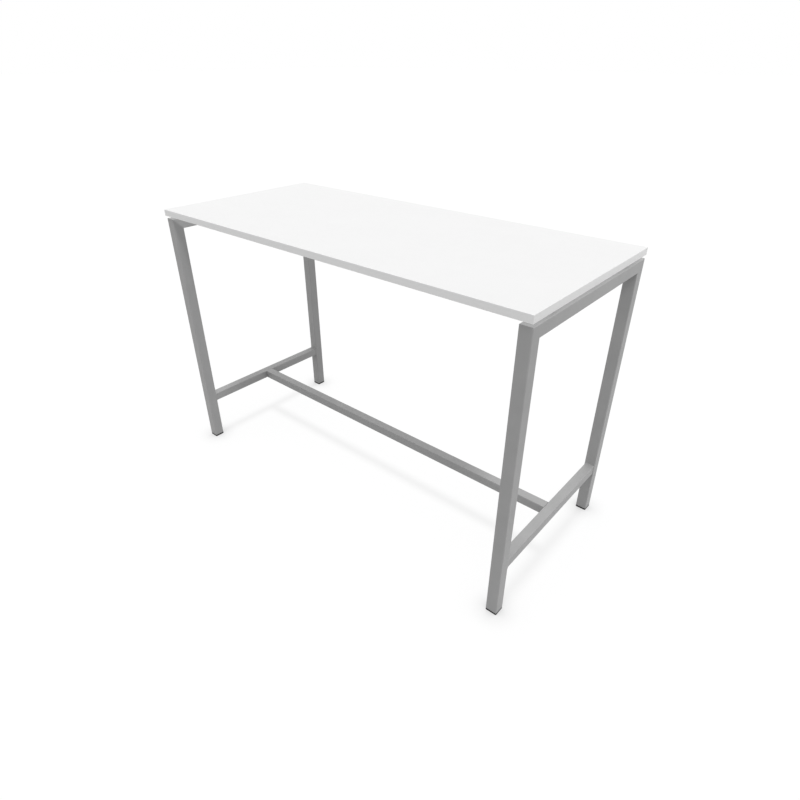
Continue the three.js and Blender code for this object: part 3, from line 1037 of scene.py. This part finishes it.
for foot in FEET:
    machine_screw(f"{foot}_top_screw")

    node = f"{foot}_beam_screw"
    low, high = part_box(node)
    place = middle(node)
    bolt = screw(
        node, low.z, high.z, BEAM_SHANK, BEAM_HEAD, BEAM_HEAD_HEIGHT,
        lobed(BEAM_KEY), BEAM_PITCH, BEAM_THREAD,
    )
    stand_for(node, moved(bolt, place.x, place.y), "zinc_steel")

    node = f"{foot}_spacer"
    low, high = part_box(node)
    place = middle(node)
    washer = spacer(node, low.z, high.z, (high.x - low.x) / 2)
    stand_for(node, moved(washer, place.x, place.y), "black_plastic")

    node = f"{foot}_board_insert"
    low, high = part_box(node)
    place = middle(node)
    sleeve = board_insert(node, low.z, high.z, (high.x - low.x) / 2)
    stand_for(node, moved(sleeve, place.x, place.y), "brass_sleeve")


# Levelling feet

for foot in FEET:
    node = f"{foot}_leg_plug"
    low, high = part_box(node)
    place = middle(node)
    flange_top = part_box(f"{foot}_leg")[0].z - SEAT_GAP
    nut_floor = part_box(f"{foot}_plug_nut")[0].z - FIT_GAP
    plug = leg_plug(node, low.z, high.z, (high.x - low.x) / 2, flange_top, nut_floor)
    stand_for(node, moved(plug, place.x, place.y), "black_plastic")

    node = f"{foot}_plug_nut"
    low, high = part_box(node)
    nut = plug_nut(node, low.z, high.z, (high.x - low.x) / 2)
    stand_for(node, moved(nut, place.x, place.y), "brass_sleeve")

    node = f"{foot}_glide_pad"
    low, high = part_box(node)
    pad = glide_pad(node, (high.x - low.x) / 2, high.z)
    stand_for(node, moved(pad, place.x, place.y), "black_plastic", body=f"{foot}_pad")

    node = f"{foot}_glide_stud"
    low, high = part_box(node)
    stud = glide_stud(node, low.z, high.z)
    stand_for(node, moved(stud, place.x, place.y), "zinc_steel", body=f"{foot}_stud")


# Studio

def seen_white(tree):
    """One for rays that show the background, straight, mirrored or through glass, and zero for the rest."""
    path = tree.nodes.new("ShaderNodeLightPath")
    mirrored = maths(tree, "MAXIMUM", path.outputs["Is Camera Ray"], path.outputs["Is Glossy Ray"])
    return maths(tree, "MAXIMUM", mirrored, path.outputs["Is Transmission Ray"])


def floor_finish():
    """White where it is seen, with the object's soft shadow cast by the studio's light and a painted
    contact shadow where ambient occlusion dims its glow, and pale for the light that it sends back.
    """
    material = bpy.data.materials.new("pale_floor")
    material.use_nodes = True
    tree = material.node_tree
    tree.nodes.clear()
    bounce = tree.nodes.new("ShaderNodeBsdfDiffuse")
    bounce.inputs["Color"].default_value = (*grey(FLOOR_BOUNCE), 1)
    shade = tree.nodes.new("ShaderNodeBsdfDiffuse")
    shade.inputs["Color"].default_value = (*grey(FLOOR_SHADE), 1)
    # Ambient occlusion dims the glow near the feet: a painted contact shadow
    contact = tree.nodes.new("ShaderNodeAmbientOcclusion")
    contact.samples = CONTACT_SAMPLES
    contact.inputs["Distance"].default_value = CONTACT_REACH
    glow = tree.nodes.new("ShaderNodeEmission")
    painted_shadow_glow = FLOOR_GLOW * (1 - PAINTED_CONTACT_SHADE)
    strength = graded(tree, contact.outputs["AO"], low=painted_shadow_glow, high=FLOOR_GLOW, span=(0, 1))
    tree.links.new(strength, glow.inputs["Strength"])
    shown = tree.nodes.new("ShaderNodeAddShader")
    tree.links.new(shade.outputs[0], shown.inputs[0])
    tree.links.new(glow.outputs[0], shown.inputs[1])
    either = tree.nodes.new("ShaderNodeMixShader")
    tree.links.new(seen_white(tree), either.inputs[0])
    tree.links.new(bounce.outputs[0], either.inputs[1])
    tree.links.new(shown.outputs[0], either.inputs[2])
    output = tree.nodes.new("ShaderNodeOutputMaterial")
    tree.links.new(either.outputs[0], output.inputs["Surface"])
    return material


def floor_place(axis, along, across):
    """A place on the floor, from its distances along an axis and across it."""
    place = [across, across, -FLOOR_DROP]
    place[axis] = along
    return place


def floor_part(name, axis, signs, material):
    """The floor from the table's middle out past a foot: a band along the axis, split from the part beyond
    the foot.
    """
    across = Y if axis == X else X
    slope = [sign * size for sign, size in zip(signs, FLOOR_SLOPE)]
    reach = [sign * FLOOR_REACH for sign in signs]
    places = [
        floor_place(axis, 0, 0),
        floor_place(axis, 0, reach[across]),
        floor_place(axis, slope[axis], reach[across]),
        floor_place(axis, slope[axis], slope[across]),
        floor_place(axis, reach[axis], reach[across]),
    ]
    sloping = (0, 1, 2, 3)
    beyond_foot = (3, 2, 4)
    mesh = bpy.data.meshes.new(name)
    mesh.from_pydata(places, [], [sloping, beyond_foot])
    if mesh.polygons[0].normal.z < 0:
        mesh.flip_normals()
    mesh.materials.append(material)
    part = bpy.data.objects.new(name, mesh)
    bpy.context.scene.collection.objects.link(part)
    return part


# The floor, in two parts for each foot
floor_material = floor_finish()
floor_parts = []
for foot, signs in FEET.items():
    for axis, way in ((X, "end"), (Y, "side")):
        part = floor_part(f"{foot}_{way}_floor", axis, signs, floor_material)
        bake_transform(part)
        part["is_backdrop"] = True
        floor_parts.append(part)

world = bpy.data.worlds.new("studio")
bpy.context.scene.world = world
world.use_nodes = True
sky = world.node_tree.nodes["Background"]
sky.inputs["Color"].default_value = (1, 1, 1, 1)
seen = seen_white(world.node_tree)
level = maths(world.node_tree, "MULTIPLY_ADD", seen, 1 - AMBIENT, AMBIENT)
world.node_tree.links.new(level, sky.inputs["Strength"])


def far_lamp(name, rise, turn, spread, strength):
    """A far lamp: its angles above the floor and from the table's length, how wide it is and how strong."""
    lamp = bpy.data.lights.new(name, "SUN")
    lamp.energy = strength
    lamp.angle = spread
    holder = bpy.data.objects.new(name, lamp)
    level = math.cos(rise)
    way = Vector((level * math.cos(turn), level * math.sin(turn), math.sin(rise)))
    holder.rotation_euler = way.to_track_quat("Z", "Y").to_euler()
    bpy.context.scene.collection.objects.link(holder)
    return holder


def floor_panel(name):
    """A faint lamp on the floor that shines up and isn't seen itself."""
    lamp = bpy.data.lights.new(name, "AREA")
    lamp.shape = "RECTANGLE"
    lamp.size = PANEL_LENGTH
    lamp.size_y = PANEL_WIDTH
    lamp.energy = PANEL_POWER
    holder = bpy.data.objects.new(name, lamp)
    holder.location.z = PANEL_LEVEL
    holder.rotation_euler.x = TURN / 2
    holder.visible_camera = False
    holder.visible_glossy = False
    bpy.context.scene.collection.objects.link(holder)
    return holder


def lowest(piece):
    """The level of a piece's lowest point."""
    return min(vertex.co.z for vertex in piece.data.vertices)


def group(name, members):
    """A collection of objects for a lamp to light or be blocked by."""
    collection = bpy.data.collections.new(name)
    for member in members:
        collection.objects.link(member)
    return collection


# The key lights the table from high on its right
top_tubes = [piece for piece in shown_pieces() if piece.name.endswith("_top_tube_visual")]
key = far_lamp("key", KEY_RISE, KEY_TURN, KEY_SPREAD, KEY_STRENGTH)
key.light_linking.receiver_collection = group("lit_by_key", set(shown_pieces()) - set(top_tubes))

# A second key passes through the tabletop, to the top tubes in the shadow gap
below_top = [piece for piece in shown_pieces() if piece.visible_diffuse]
gap_key = far_lamp("gap_key", KEY_RISE, KEY_TURN, KEY_SPREAD, KEY_STRENGTH)
gap_key.light_linking.receiver_collection = group("lit_by_gap_key", top_tubes)
gap_key.light_linking.blocker_collection = group("shades_gap_key", below_top)

# A softer lamp overhead gives the floor its shadows
floor_lamp = far_lamp(
    "floor_lamp", FLOOR_LAMP_RISE, FLOOR_LAMP_TURN, FLOOR_LAMP_SPREAD, FLOOR_LAMP_STRENGTH,
)
floor_lamp.light_linking.receiver_collection = group("lit_by_floor_lamp", floor_parts)
casters = [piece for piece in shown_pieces() if piece.name.endswith(FLOOR_CASTERS)]
floor_lamp.light_linking.blocker_collection = group("shades_floor_lamp", casters)

# The light that a pale floor sends up reaches the underside of the top and what hangs from it
overhead = [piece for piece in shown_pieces() if lowest(piece) > OVERHEAD_LEVEL]
panel = floor_panel("under_panel")
panel.light_linking.receiver_collection = group("lit_by_under_panel", overhead)

camera = bpy.data.cameras.new("photo_camera")
camera.sensor_width = SENSOR
camera.lens = SENSOR * FOCAL_PIXELS / PICTURE_PIXELS
camera_holder = bpy.data.objects.new("photo_camera", camera)
camera_holder.location = CAMERA_PLACE
camera_holder.rotation_euler = (QUARTER + CAMERA_PITCH, 0, CAMERA_YAW)
bpy.context.scene.collection.objects.link(camera_holder)
bpy.context.scene.camera = camera_holder
bpy.context.scene.view_settings.view_transform = "Standard"
